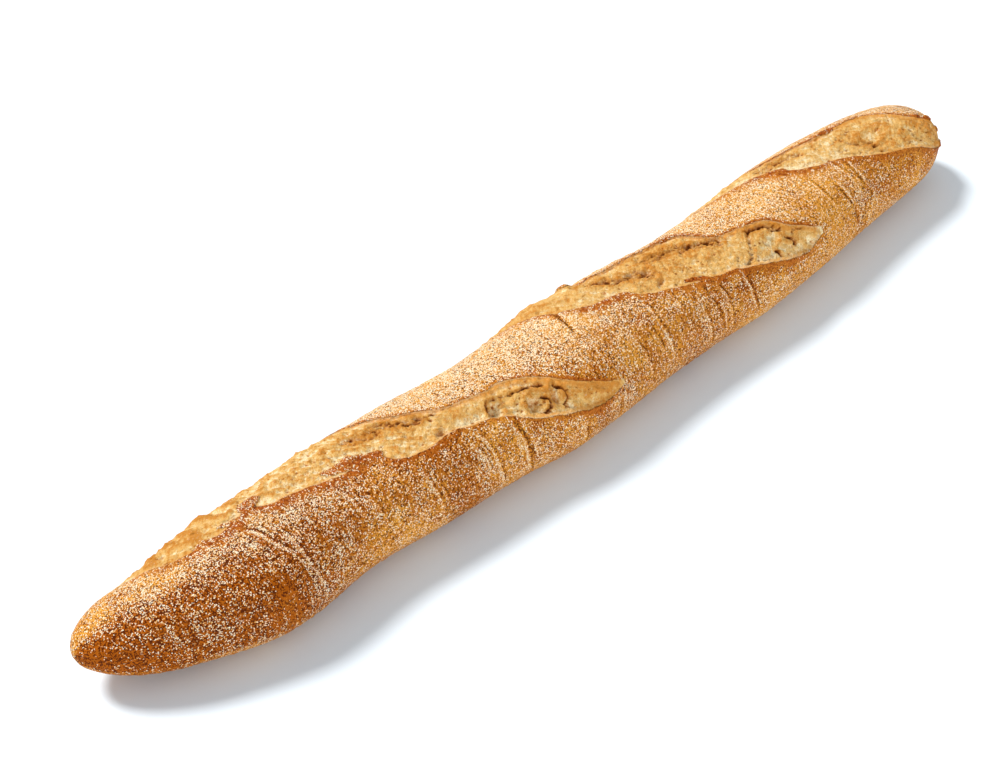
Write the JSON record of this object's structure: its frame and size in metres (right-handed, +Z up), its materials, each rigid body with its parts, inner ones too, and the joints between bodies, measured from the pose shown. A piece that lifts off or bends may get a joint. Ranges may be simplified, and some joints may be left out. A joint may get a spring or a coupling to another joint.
{
  "type": "baguette",
  "caption": "Long crusty baguette with rounded tips, diagonal scores torn open along its crown and a flat underside that it rests on.",
  "frame": {"origin": "middle of the bounding box's underside, on the flat base that the loaf rests on", "axes": "+X along the loaf towards its far, notched tip, +Z up through the crown, -Y towards the side that the scores run down to"},
  "size_m": [0.56, 0.075, 0.0519],
  "materials": {
    "crust": "dull golden brown crust dusted with coarse pale flour, pale torn crumb in the scores"
  },
  "bodies": {
    "root": {"baguette": "crust"}
  },
  "joints": []
}
